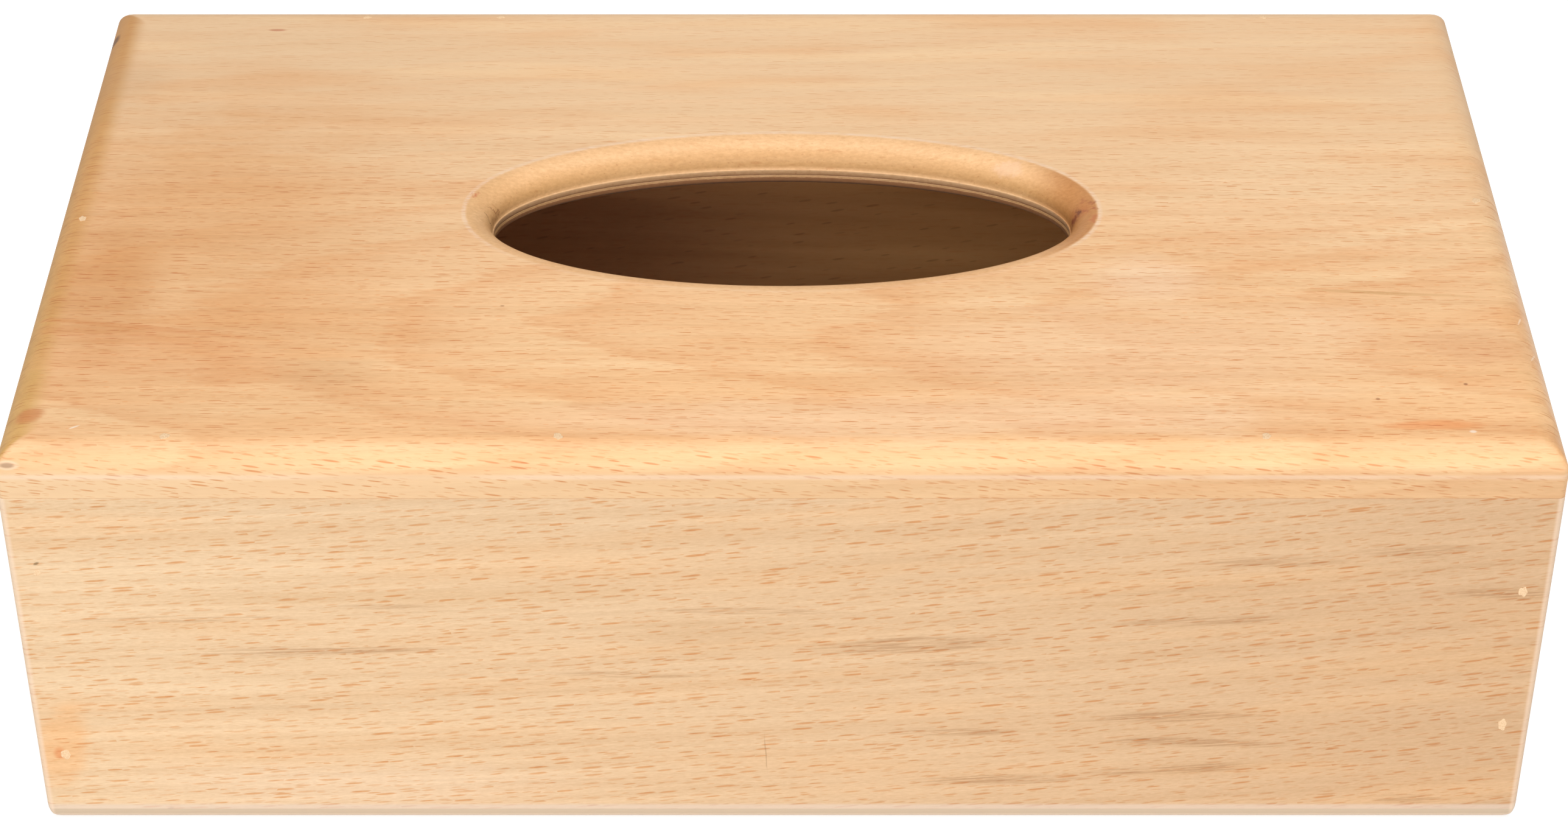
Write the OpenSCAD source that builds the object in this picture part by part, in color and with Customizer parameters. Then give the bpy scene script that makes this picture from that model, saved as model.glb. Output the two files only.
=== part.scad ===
// Tissue box cover: five butt-jointed beech boards, pinned with brads under wood filler.
// The open bottom drops over a standard flat tissue box, and tissues come out of the oval.
// Frame: origin at the middle of the footprint on the table, +Z up, front towards -Y.

/* [Overall size] */
// Length of the cover along X, end face to end face
cover_length = 260; // [200:1:340]
// Depth of the cover along Y, front face to back face
cover_depth = 144; // [110:1:200]
// Height of the cover from the table to the top face
cover_height = 82; // [60:1:140]

/* [Boards] */
// Thickness of the top board
top_thickness = 9.5; // [8.5:0.5:14]
// Thickness of the front and back boards
wall_thickness = 9.5; // [8:0.5:14]
// Thickness of the two end boards
end_thickness = 9.5; // [8:0.5:14]

/* [Edges] */
// Radius routed round the four outer edges of the top
top_edge_r = 5; // [2:0.5:7.5]
// Radius sanded on the outer edges that stand on the table
foot_edge_r = 2; // [0.5:0.25:4]
// Radius sanded on the four upright corners
corner_edge_r = 1; // [0.5:0.25:4]

/* [Tissue opening] */
// Length of the oval opening along X, at its wall
opening_length = 104; // [80:1:150]
// Width of the oval opening along Y, at its wall
opening_width = 41; // [32:1:70]
// Radius routed round the upper rim of the oval
rim_edge_r = 5; // [2:0.5:6]
// Radius sanded on the lower edge of the oval, inside the cover
under_edge_r = 2.2; // [0.3:0.1:2.2]

/* [Brads] */
// Length of a brad from the top of its head to its point
brad_length = 20; // [16:1:25]
// Diameter of a brad's shank
brad_d = 1; // [0.8:0.1:1.4]
// Diameter of a brad's head
brad_head_d = 1.6; // [1.5:0.1:2.4]
// Height of a brad's head
brad_head_h = 0.4; // [0.3:0.1:0.8]
// Length of the tapered point
brad_point = 1.5; // [1:0.25:3]
// Diameter of the blunt tip that ends the point
brad_tip_d = 0.2; // [0.1:0.1:0.5]
// Depth of the head's top under the face of the board, filled with wood filler
brad_sink = 1.2; // [0.8:0.1:2]

/* [Clearances] */
// Gap round a brad's shank and head in its hole
brad_clearance = 0.05; // [0.02:0.01:0.1]
// Gap round a plug of filler in the mouth of the hole
filler_clearance = 0.03; // [0.01:0.01:0.05]
// Room left in the hole past a brad's point
brad_end_room = 0.5; // [0.2:0.1:2]

/* [Hidden] */
$fn = 96;

// Brads through the front and back boards: height as a share of the cover's height.
// They were driven by eye, so the left and right pairs don't line up.
left_brad_shares = [0.19, 0.69];
right_brad_shares = [0.275, 0.64];

// Brads through the top board: place along X from the middle, as a share of the length
top_front_brad_shares = [-0.392, -0.142, 0.308];
top_back_brad_shares = [-0.31, -0.21, 0.36];

// The single brad over each end board: place along Y from the middle, as a share of the depth
top_left_brad_share = -0.02;
top_right_brad_share = 0.02;

left = -1;
right = 1;
front = -1;
back = 1;
overrun = 1;

half_length = cover_length / 2;
half_depth = cover_depth / 2;
wall_height = cover_height - top_thickness;
inner_depth = cover_depth - 2 * wall_thickness;

half_opening_length = opening_length / 2;
half_opening_width = opening_width / 2;
// Steps round the oval, up its routed rim and up its sanded lower edge
oval_steps = 96;
rim_steps = 6;
under_steps = 3;

brad_hole_d = brad_d + 2 * brad_clearance;
head_hole_d = brad_head_d + 2 * brad_clearance;
head_seat = brad_sink + brad_head_h;
filler_d = head_hole_d - 2 * filler_clearance;

beech_top = [0.91, 0.76, 0.56];
beech_wall = [0.90, 0.71, 0.50];
beech_end = [0.84, 0.66, 0.46];
brad_steel = [0.62, 0.62, 0.64];
filler_cream = [0.94, 0.86, 0.72];

// What a router or sander of radius r takes off the square corner that lies at the origin
module edge_waste(r) {
    difference() {
        translate([-r, -r]) square(r + overrun);
        translate([-r, -r]) circle(r);
    }
}

// Upright section of the whole cover, width across and up to its full height
module upright_section(width) {
    difference() {
        translate([-width / 2, 0]) square([width, cover_height]);
        for (flip = [0, 1]) mirror([flip, 0]) {
            translate([width / 2, cover_height]) edge_waste(top_edge_r);
            translate([width / 2, 0]) mirror([0, 1]) edge_waste(foot_edge_r);
        }
    }
}

// Plan section of the whole cover with its sanded corners
module plan_section() {
    difference() {
        square([cover_length, cover_depth], center = true);
        for (flip_x = [0, 1], flip_y = [0, 1])
            mirror([flip_x, 0]) mirror([0, flip_y])
                translate([half_length, half_depth]) edge_waste(corner_edge_r);
    }
}

// The outside of the glued-up cover after routing and sanding; every board is cut from it.
// The routed edges run out straight, so they meet in a mitre at the top corners.
module outer_form() {
    intersection() {
        translate([0, half_depth, 0]) rotate([90, 0, 0])
            linear_extrude(cover_depth) upright_section(cover_length);
        translate([-half_length, 0, 0]) rotate([90, 0, 90])
            linear_extrude(cover_length) upright_section(cover_depth);
        linear_extrude(cover_height) plan_section();
    }
}

// A point of the oval at the given turn, moved outwards square to the oval's edge
function oval_point(turn, outwards) =
    let (normal = [half_opening_width * cos(turn), half_opening_length * sin(turn)])
    [half_opening_length * cos(turn), half_opening_width * sin(turn)]
        + outwards * normal / norm(normal);

// The oval opening as a solid: rings of the oval, which spread outwards up the routed rim
// and down the sanded lower edge
module opening_cut() {
    rings = concat(
        [[wall_height - overrun, under_edge_r]],
        [for (step = [under_steps:-1:0]) let (turn = 90 * step / under_steps)
            [wall_height + under_edge_r * (1 - sin(turn)), under_edge_r * (1 - cos(turn))]],
        [for (step = [0:rim_steps]) let (turn = 90 * step / rim_steps)
            [cover_height - rim_edge_r * (1 - sin(turn)), rim_edge_r * (1 - cos(turn))]],
        [[cover_height + overrun, rim_edge_r]]);
    points = [for (ring = rings, step = [0:oval_steps - 1])
        let (place = oval_point(360 * step / oval_steps, ring[1])) [place[0], place[1], ring[0]]];
    last_ring = len(rings) - 1;
    sides = [for (ring = [0:last_ring - 1], step = [0:oval_steps - 1])
        let (next = (step + 1) % oval_steps, low = ring * oval_steps, high = low + oval_steps)
        each [[low + step, high + step, high + next], [low + step, high + next, low + next]]];
    underside = [for (step = [0:oval_steps - 1]) step];
    upper_side = [for (step = [oval_steps - 1:-1:0]) last_ring * oval_steps + step];
    polyhedron(points, concat([underside], sides, [upper_side]));
}

// A brad driven down -Z from the face at z = 0, with its head sunk
module brad() {
    color(brad_steel) {
        translate([0, 0, -head_seat]) cylinder(d = brad_head_d, h = brad_head_h);
        translate([0, 0, -brad_sink - brad_length + brad_point])
            cylinder(d = brad_d, h = brad_length - brad_point - brad_head_h);
        translate([0, 0, -brad_sink - brad_length])
            cylinder(d1 = brad_tip_d, d2 = brad_d, h = brad_point);
    }
}

// The hole that a brad makes, with the mouth over its head
module brad_hole() {
    translate([0, 0, -head_seat]) cylinder(d = head_hole_d, h = head_seat + overrun);
    translate([0, 0, -brad_sink - brad_length - brad_end_room])
        cylinder(d = brad_hole_d, h = brad_length + brad_end_room + brad_sink);
}

// The plug of filler over a brad's head, sanded later with the outside
module filler_plug() {
    translate([0, 0, -brad_sink]) cylinder(d = filler_d, h = brad_sink + overrun);
}

// Places its children on the front or back face, in line with the middle of an end board
module on_wall_face(face, side) {
    height_shares = side == left ? left_brad_shares : right_brad_shares;
    for (height_share = height_shares)
        translate([side * (half_length - end_thickness / 2), face * half_depth,
                   height_share * cover_height])
            rotate([-face * 90, 0, 0]) children();
}

// Places its children on the top face, over the middle of the front or back board
module on_top_over_wall(face) {
    length_shares = face == front ? top_front_brad_shares : top_back_brad_shares;
    for (length_share = length_shares)
        translate([length_share * cover_length, face * (half_depth - wall_thickness / 2), cover_height])
            children();
}

// Places its children on the top face, over the middle of an end board
module on_top_over_end(side) {
    depth_share = side == left ? top_left_brad_share : top_right_brad_share;
    translate([side * (half_length - end_thickness / 2), depth_share * cover_depth, cover_height])
        children();
}

module sanded_filler() {
    color(filler_cream) intersection() {
        children();
        outer_form();
    }
}

module top_board() {
    color(beech_top) difference() {
        intersection() {
            translate([-half_length, -half_depth, wall_height])
                cube([cover_length, cover_depth, top_thickness]);
            outer_form();
        }
        opening_cut();
        for (face = [front, back]) on_top_over_wall(face) brad_hole();
        for (side = [left, right]) on_top_over_end(side) brad_hole();
    }
}

// The front and back boards run the full length and cover the ends of the end boards
module wall_board(face) {
    color(beech_wall) difference() {
        intersection() {
            translate([-half_length, face == front ? -half_depth : half_depth - wall_thickness, 0])
                cube([cover_length, wall_thickness, wall_height]);
            outer_form();
        }
        for (side = [left, right]) on_wall_face(face, side) brad_hole();
        on_top_over_wall(face) brad_hole();
    }
}

// An end board stands between the front and back boards
module end_board(side) {
    color(beech_end) difference() {
        intersection() {
            translate([side == left ? -half_length : half_length - end_thickness, -inner_depth / 2, 0])
                cube([end_thickness, inner_depth, wall_height]);
            outer_form();
        }
        for (face = [front, back]) on_wall_face(face, side) brad_hole();
        on_top_over_end(side) brad_hole();
    }
}

module front_board() { wall_board(front); }
module back_board() { wall_board(back); }
module left_end_board() { end_board(left); }
module right_end_board() { end_board(right); }

module front_left_brads() { on_wall_face(front, left) brad(); }
module front_right_brads() { on_wall_face(front, right) brad(); }
module back_left_brads() { on_wall_face(back, left) brad(); }
module back_right_brads() { on_wall_face(back, right) brad(); }
module top_front_brads() { on_top_over_wall(front) brad(); }
module top_back_brads() { on_top_over_wall(back) brad(); }
module top_left_brad() { on_top_over_end(left) brad(); }
module top_right_brad() { on_top_over_end(right) brad(); }

module front_left_fillers() { sanded_filler() on_wall_face(front, left) filler_plug(); }
module front_right_fillers() { sanded_filler() on_wall_face(front, right) filler_plug(); }
module back_left_fillers() { sanded_filler() on_wall_face(back, left) filler_plug(); }
module back_right_fillers() { sanded_filler() on_wall_face(back, right) filler_plug(); }
module top_front_fillers() { sanded_filler() on_top_over_wall(front) filler_plug(); }
module top_back_fillers() { sanded_filler() on_top_over_wall(back) filler_plug(); }
module top_left_filler() { sanded_filler() on_top_over_end(left) filler_plug(); }
module top_right_filler() { sanded_filler() on_top_over_end(right) filler_plug(); }

top_board();
front_board();
back_board();
left_end_board();
right_end_board();
front_left_brads();
front_right_brads();
back_left_brads();
back_right_brads();
top_front_brads();
top_back_brads();
top_left_brad();
top_right_brad();
front_left_fillers();
front_right_fillers();
back_left_fillers();
back_right_fillers();
top_front_fillers();
top_back_fillers();
top_left_filler();
top_right_filler();
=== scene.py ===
import math

import bmesh
import bpy
import numpy as np
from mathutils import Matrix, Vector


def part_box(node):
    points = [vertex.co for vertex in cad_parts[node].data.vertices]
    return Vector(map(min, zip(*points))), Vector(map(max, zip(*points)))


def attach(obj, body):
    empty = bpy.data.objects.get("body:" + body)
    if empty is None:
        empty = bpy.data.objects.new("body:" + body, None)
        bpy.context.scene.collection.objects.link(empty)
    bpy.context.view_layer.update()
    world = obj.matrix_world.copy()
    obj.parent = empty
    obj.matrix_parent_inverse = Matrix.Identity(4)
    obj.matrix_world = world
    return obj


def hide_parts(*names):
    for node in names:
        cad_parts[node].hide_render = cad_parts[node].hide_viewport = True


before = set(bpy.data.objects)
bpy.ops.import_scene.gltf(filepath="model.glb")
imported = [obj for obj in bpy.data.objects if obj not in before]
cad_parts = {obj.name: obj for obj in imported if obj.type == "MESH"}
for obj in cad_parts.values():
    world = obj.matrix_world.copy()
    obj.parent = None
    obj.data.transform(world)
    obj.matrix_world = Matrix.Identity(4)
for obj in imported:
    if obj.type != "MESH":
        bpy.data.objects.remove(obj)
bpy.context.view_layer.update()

mm = 0.001
quarterTurn = math.pi / 2
scene = bpy.context.scene
scene.view_settings.view_transform = "Standard"

# Camera and studio

camera = {
    "place": (0.4 * mm, -550.5 * mm, 449.3 * mm),
    "pitch": 36.92,  # degrees below the horizon
    "lens": 84.4,
    "sensor": 36.0,
}
studio = {
    "floorSize": 9.0,
    "floorColour": (220, 220, 222),
    "floorGlow": 0.62,  # added for the camera only, so that the floor reads as white paper
    "worldLight": 0.30,
    "lamps": {  # place, size and power
        "frontBox": ((0.0, -2.6, 0.75), (2.2, 1.0), 37.0),
        "topBox": ((0.0, -0.35, 2.4), (1.8, 1.5), 32.3),
        "fillBox": ((-0.9, -1.6, 1.35), (0.6, 0.6), 2.8),  # also reaches in through the opening
    },
    "aim": (0.0, 0.0, 0.05),
}


def srgb(*levels):  # colour levels as they look, 0 to 255, to the linear colour that a socket takes
    share = np.array(levels) / 255
    linear = np.where(share <= 0.04045, share / 12.92, ((share + 0.055) / 1.055) ** 2.4)
    return (*[float(v) for v in linear], 1.0)


building = {"tree": None}  # the node tree that put adds its nodes to


def put(kind, inputs=None, **settings):  # one node; each input takes a socket or a plain value
    tree = building["tree"]
    node = tree.nodes.new("ShaderNode" + kind)
    for name, value in settings.items():
        setattr(node, name, value)
    for name, value in (inputs or {}).items():
        if isinstance(value, bpy.types.NodeSocket):
            tree.links.new(value, node.inputs[name])
        else:
            node.inputs[name].default_value = value
    return node


def calc(operation, *values):
    return put("Math", dict(enumerate(values)), operation=operation).outputs[0]


def calcVector(operation, *values):
    node = put("VectorMath", dict(enumerate(values)), operation=operation)
    return node.outputs["Value" if operation == "LENGTH" else "Vector"]


def product(*values):
    result = values[0]
    for value in values[1:]:
        result = calc("MULTIPLY", result, value)
    return result


def remap(value, low, high, toLow=0.0, toHigh=1.0, kind="SMOOTHSTEP"):
    inputs = {0: value, 1: low, 2: high, 3: toLow, 4: toHigh}
    return put("MapRange", inputs, interpolation_type=kind).outputs[0]


def tint(share, colour, other, mode="MIX"):
    inputs = {0: share, 6: colour, 7: other}
    return put("Mix", inputs, data_type="RGBA", blend_type=mode, clamp_factor=True).outputs[2]


def join(x, y, z):
    return put("CombineXYZ", {0: x, 1: y, 2: z}).outputs[0]


def noise(place, size, detail=2.0, roughness=0.5):  # size is that of its patches, in mm
    inputs = {"Vector": calcVector("DIVIDE", place, size), "Scale": 1.0,
              "Detail": detail, "Roughness": roughness}
    return put("TexNoise", inputs).outputs[0]


def placeInMm():
    here = {0: put("TexCoord").outputs["Object"], "Scale": 1 / mm}
    return put("VectorMath", here, operation="SCALE").outputs[0]


def newMaterial(name):
    material = bpy.data.materials.new(name)
    material.use_nodes = True
    material.node_tree.nodes.clear()
    building["tree"] = material.node_tree
    return material


def plainPlane(name, size):  # a flat square at height zero, four corners from -size/2 to size/2
    half = size / 2
    corners = np.array([(-half, -half, 0), (half, -half, 0), (half, half, 0), (-half, half, 0)])
    mesh = bpy.data.meshes.new(name)
    mesh.from_pydata(corners.tolist(), [], [(0, 1, 2, 3)])
    plane = bpy.data.objects.new(name, mesh)
    scene.collection.objects.link(plane)
    return plane


def buildCamera():
    data = bpy.data.cameras.new("camera")
    data.lens = camera["lens"]
    data.sensor_width = camera["sensor"]
    data.clip_start, data.clip_end = 0.01, 50.0
    shot = bpy.data.objects.new("camera", data)
    shot.location = camera["place"]
    shot.rotation_euler = (math.radians(90 - camera["pitch"]), 0.0, 0.0)
    scene.collection.objects.link(shot)
    scene.camera = shot


def areaLight(name, place, size, power):  # a soft box that faces the aim point
    data = bpy.data.lights.new(name, "AREA")
    data.shape = "RECTANGLE"
    data.size, data.size_y = size
    data.energy = power
    lamp = bpy.data.objects.new(name, data)
    lamp.location = place
    toward = np.array(studio["aim"]) - np.array(place)
    flat = math.hypot(toward[0], toward[1])
    lamp.rotation_euler = (math.atan2(flat, -toward[2]), 0.0, math.atan2(-toward[0], toward[1]))
    scene.collection.objects.link(lamp)


def buildStudio():
    floor = plainPlane("floor", studio["floorSize"])
    paper = newMaterial("studioPaper")
    surface = put("BsdfPrincipled", {"Base Color": srgb(*studio["floorColour"]), "Roughness": 0.9})
    rays = put("LightPath")
    seen = calc("MULTIPLY", rays.outputs["Is Camera Ray"], studio["floorGlow"])
    glow = put("Emission", {"Color": (1.0, 1.0, 1.0, 1.0), "Strength": seen})
    both = put("AddShader", {0: surface.outputs[0], 1: glow.outputs[0]})
    put("OutputMaterial", {"Surface": both.outputs[0]})
    floor.data.materials.append(paper)

    world = bpy.data.worlds.new("studio")
    world.use_nodes = True
    world.node_tree.nodes.clear()
    building["tree"] = world.node_tree
    rays = put("LightPath")
    direct = calc("MAXIMUM", rays.outputs["Is Camera Ray"], rays.outputs["Is Glossy Ray"])
    strength = remap(direct, 0.0, 1.0, studio["worldLight"], 1.0, "LINEAR")
    sky = put("Background", {"Color": (1.0, 1.0, 1.0, 1.0), "Strength": strength})
    put("OutputWorld", {"Surface": sky.outputs[0]})
    scene.world = world
    for name, lamp in studio["lamps"].items():
        areaLight(name, *lamp)


buildCamera()
buildStudio()
print("camera and studio set")

# Surfaces

arrisGap = 0.3  # mm of flat kept beside each round, so that flat sides shade flat


def gridQuads(rowCount, columnCount, rowsClose):
    # corner numbers of every cell of a grid; its last column joins the first, and so does its last row
    # where the rows close
    row, column = np.meshgrid(np.arange(rowCount - (not rowsClose)), np.arange(columnCount), indexing="ij")
    below, beside = (row + 1) % rowCount, (column + 1) % columnCount
    corners = (row * columnCount + column, row * columnCount + beside,
               below * columnCount + beside, below * columnCount + column)
    return np.stack([c.ravel() for c in corners], axis=1)


def turnedOut(points, faces):
    # a closed surface's signed volume is the sum of a . (b x c + c x d); below zero, its faces turn
    a, b, c, d = (points[faces[:, k]] for k in range(4))
    volume = np.einsum("ij,ij->", a, np.cross(b, c) + np.cross(c, d))
    return faces if volume > 0 else faces[:, ::-1]


def makePiece(name, shells, material, stoodFor):
    # shells are grids of points in mm that close on themselves, each with its own values at the points
    points, faces, values, count = [], [], {}, 0
    for shell in shells:
        grid = shell["points"]
        flat = grid.reshape(-1, 3) * mm
        cells = gridQuads(*grid.shape[:2], shell["rowsClose"])
        points.append(flat)
        faces.append(turnedOut(flat, cells) + count)
        for label, value in shell.get("values", {}).items():
            values.setdefault(label, []).append(np.broadcast_to(value, grid.shape[:2]).ravel())
        count += len(flat)
    mesh = bpy.data.meshes.new(name)
    mesh.from_pydata(np.concatenate(points).tolist(), [], np.concatenate(faces).tolist())
    for label, parts in values.items():
        mesh.attributes.new(label, "FLOAT", "POINT").data.foreach_set("value", np.concatenate(parts))
    merged = bmesh.new()
    merged.from_mesh(mesh)
    bmesh.ops.remove_doubles(merged, verts=merged.verts, dist=0.002 * mm)  # closes the poles
    merged.to_mesh(mesh)
    merged.free()
    mesh.polygons.foreach_set("use_smooth", np.ones(len(mesh.polygons), dtype=bool))
    mesh.materials.append(material)
    piece = bpy.data.objects.new(name, mesh)
    scene.collection.objects.link(piece)
    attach(piece, "root")
    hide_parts(*stoodFor)


def drawnIn(distance, radius):
    # how far a quarter round draws a side in, at a distance from the end: radius - sqrt(radius^2 - rest^2)
    rest = np.clip(radius - distance, 0, None)
    return radius - np.sqrt(radius ** 2 - rest ** 2)


def roundedRing(lowA, highA, lowB, highB, radii):
    # a rectangle's outline at each station: four quarter arcs, counterclockwise, each with a point on
    # the straight sides before and after it
    turn = np.linspace(0, quarterTurn, 6)
    ring = []
    for corner, (signA, signB) in enumerate(((1, 1), (-1, 1), (-1, -1), (1, -1))):
        radius = radii[corner]
        centreA = highA - radius if signA > 0 else lowA + radius
        centreB = highB - radius if signB > 0 else lowB + radius
        angle = turn + corner * quarterTurn
        a, b = centreA + radius * np.cos(angle), centreB + radius * np.sin(angle)
        gapA, gapB = arrisGap * np.sin(angle), arrisGap * np.cos(angle)
        start = np.stack([a[:, :1] + gapA[0], b[:, :1] - gapB[0]], -1)
        end = np.stack([a[:, -1:] - gapA[-1], b[:, -1:] + gapB[-1]], -1)
        ring += [start, np.stack([a, b], -1), end]
    return np.concatenate(ring, axis=1)


def boardShell(low, high, lengthAxis, endRounds, cornerRounds):
    # a rounded rectangle carried along the board; near each end every side is drawn in by its own
    # quarter round, and the flat end closes on a spine in the middle of the board's thickness
    sideA, sideB = [k for k in range(3) if k != lengthAxis]
    length = high[lengthAxis] - low[lengthAxis]
    turn = np.linspace(0, quarterTurn, 6)
    widest = max(endRounds)
    cuts = [radius * (1 - np.cos(turn)) for radius in endRounds]
    near = np.unique(np.round(np.concatenate([*cuts, [widest + arrisGap]]), 3))
    middle = np.linspace(near[-1], length - near[-1], 13)[1:-1]
    run = np.concatenate([[0, 0], near, middle, length - near[::-1], [length, length]])
    fromEnd = np.minimum(run, length - run)[:, None]
    extra = np.zeros_like(fromEnd)
    extra[[0, 1, -2, -1]] = arrisGap
    lowA, highA, lowB, highB = (drawnIn(fromEnd, radius) + extra for radius in endRounds)
    lowA, highA = low[sideA] + lowA, high[sideA] - highA
    lowB, highB = low[sideB] + lowB, high[sideB] - highB
    ring = roundedRing(lowA, highA, lowB, highB, cornerRounds)
    for row in (0, -1):  # the spine
        half = (highA[row] - lowA[row]) / 2
        ring[row, :, 0] = lowA[row] + half
        ring[row, :, 1] = np.clip(ring[row, :, 1], lowB[row] + half, highB[row] - half)
    points = np.empty((*ring.shape[:2], 3))
    points[:, :, lengthAxis] = low[lengthAxis] + run[:, None]
    points[:, :, sideA], points[:, :, sideB] = ring[:, :, 0], ring[:, :, 1]
    return {"points": points, "rowsClose": False}


def nodeBox(name):  # a CAD node's box in mm
    low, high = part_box(name)
    return np.array(low) / mm, np.array(high) / mm


# Grain and finish groups

fleckSizes, fleckStrengths = (0.6, 1.2), (0.4, 1.0)
beechSizes = {  # of the noises that every board shares, in mm along, across and out
    "sway": (90.0, 30.0, 30.0),
    "wobble": (14.0, 3.0, 3.0),
    "line": (14.0, 0.3),
    "torn": (0.9, 0.9, 0.9),
    "tornPush": (2.6, 2.6, 2.6),
}
ringRagged = {  # how far noise of each size, in mm, pushes the growth rings about
    "wander": ((70.0, 16.0, 16.0), 8.0),
    "fine": ((26.0, 1.3, 1.3), 2.4),
}


def startGroup(name, inputs, result):
    # inputs are values or vectors by name; the one output is a value
    tree = building["tree"] = bpy.data.node_groups.new(name, "ShaderNodeTree")
    for label, value in inputs.items():
        kind = "NodeSocketVector" if isinstance(value, tuple) else "NodeSocketFloat"
        socket = tree.interface.new_socket(label, in_out="INPUT", socket_type=kind)
        socket.default_value = value
    tree.interface.new_socket(result, in_out="OUTPUT", socket_type="NodeSocketFloat")
    given = tree.nodes.new("NodeGroupInput").outputs
    return tree, given, tree.nodes.new("NodeGroupOutput").inputs[result]


def useGroup(group, **inputs):
    return put("Group", inputs, node_tree=group).outputs[0]


def buildRayFlecks():
    # a lens round the middle of each Voronoi cell, as long, tall and thin as Half says, with a random
    # size and strength; only the Share of the cells has one
    tree, given, made = startGroup("rayFlecks", {
        "Place": (0, 0, 0), "Cell": (6, 2, 2), "Half": (2, 0.3, 0.6), "Share": 0.8, "Lean": 0.0}, "Mask")
    cells = calcVector("DIVIDE", given["Place"], given["Cell"])
    voronoi = put("TexVoronoi", {"Vector": cells, "Scale": 1.0, "Randomness": 0.9},
                  voronoi_dimensions="3D", feature="F1")
    away = calcVector("SUBTRACT", cells, voronoi.outputs["Position"])
    away = calcVector("MULTIPLY", away, given["Cell"])
    rise = calc("MULTIPLY", put("SeparateXYZ", {0: away}).outputs[0], given["Lean"])
    away = calcVector("SUBTRACT", away, join(0.0, rise, 0.0))
    draw = put("SeparateColor", {0: voronoi.outputs["Color"]}).outputs
    size = remap(draw[0], 0.0, 1.0, *fleckSizes, "LINEAR")
    reach = calcVector("LENGTH", calcVector("DIVIDE", away, given["Half"]))
    shape = remap(calc("DIVIDE", reach, size), 1.0, 0.6)
    there = calc("LESS_THAN", draw[1], given["Share"])
    strength = remap(draw[2], 0.0, 1.0, *fleckStrengths, "LINEAR")
    tree.links.new(product(shape, there, strength), made)
    return tree


def buildFibre():
    # noise drawn out along the grain: Length mm along it and Width mm across it
    tree, given, made = startGroup("woodFibre", {"Place": (0, 0, 0), "Length": 9.0, "Width": 0.2}, "Value")
    scale = join(given["Length"], given["Width"], given["Width"])
    tree.links.new(noise(given["Place"], scale, 3.0, 0.6), made)
    return tree


def buildRings():
    # distance from the tree's heart, sqrt(across^2 + depth^2), where the heart's depth falls evenly along
    # the board, so that the rings form arches; each ring darkens slowly outwards and ends sharply
    tree, given, made = startGroup("growthRings", {
        "Place": (0, 0, 0), "Heart": -45.0, "Deep": 30.0, "Fall": 0.1, "Spacing": 3.5}, "Value")
    part = put("SeparateXYZ", {0: given["Place"]}).outputs
    dip = calc("MULTIPLY", part[0], given["Fall"])
    depth = calc("ADD", calc("SUBTRACT", given["Deep"], dip), part[2])
    across = calc("SUBTRACT", part[1], given["Heart"])
    reach = calcVector("LENGTH", join(across, depth, 0.0))
    for size, push in ringRagged.values():
        stray = noise(given["Place"], size)
        reach = calc("MULTIPLY_ADD", stray, push, reach)
    ring = calc("FRACT", calc("DIVIDE", reach, given["Spacing"]))
    late = calc("POWER", ring, 2.2)
    drop = remap(ring, 1.0, 0.84)
    tree.links.new(product(late, drop), made)
    return tree


def buildMark():
    # an ellipsoid of the half sizes in Half, turned by Turn in the face's plane, that fades over its
    # outer Soft share
    tree, given, made = startGroup("softMark", {
        "Place": (0, 0, 0), "Centre": (0, 0, 0), "Half": (5, 5, 5), "Turn": 0.0, "Soft": 0.5}, "Mask")
    away = calcVector("SUBTRACT", given["Place"], given["Centre"])
    turned = put("VectorRotate", {"Vector": away, "Angle": given["Turn"]},
                 rotation_type="Z_AXIS", invert=True).outputs[0]
    reach = calcVector("LENGTH", calcVector("DIVIDE", turned, given["Half"]))
    inner = calc("SUBTRACT", 1.0, given["Soft"])
    tree.links.new(remap(reach, 1.0, inner), made)
    return tree


rayFlecks = buildRayFlecks()
woodFibre = buildFibre()
growthRings = buildRings()
softMark = buildMark()
print("grain groups built")


def mark(at, half, share, colour, turn=0.0, soft=0.6, deep=2.5, out=0.0, grainy=0.0):
    # a stain, streak or scratch: its middle and half size along and across the grain, in mm, and how
    # far out of the face it lies and how deep it goes; a grainy one shows only in the darker fibres
    return {"at": (*at, out), "half": (*half, deep), "share": share, "colour": colour, "turn": turn,
            "soft": soft, "grainy": grainy}


def flecks(shift, cell, half, share, strength, darken, lean=0.0):
    # cell and half are sizes in mm along the grain, across it and into the wood; darken is what the
    # strongest fleck leaves of the red, green and blue under it
    return {"shift": shift, "cell": cell, "half": half, "share": share, "strength": strength,
            "darken": darken, "lean": lean}


def toned(colour, value, spread=(0.7, 1.0, 1.35)):
    # lightens and darkens a colour by a value about zero, the blue most, as wood does
    tone = join(*(calc("MULTIPLY_ADD", value, s, 1.0) for s in spread))
    return calcVector("MULTIPLY", colour, tone)


def paint(parts, share, levels):  # lays a colour over the board's own by a share
    parts["colour"] = tint(share, parts["colour"], srgb(*levels))


def addFlecks(parts, layers, within=1.0, place=None):
    # each layer multiplies the colour under it, and sinks the surface a little
    for layer in layers:
        moved = calcVector("ADD", place or parts["grain"], layer["shift"])
        mask = useGroup(rayFlecks, Place=moved, Cell=layer["cell"], Half=layer["half"],
                        Share=layer["share"], Lean=layer["lean"])
        mask = product(mask, within)
        parts["colour"] = tint(product(mask, layer["strength"]), parts["colour"],
                               (*layer["darken"], 1.0), "MULTIPLY")
        parts["height"] = calc("MULTIPLY_ADD", mask, -0.4, parts["height"])


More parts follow.
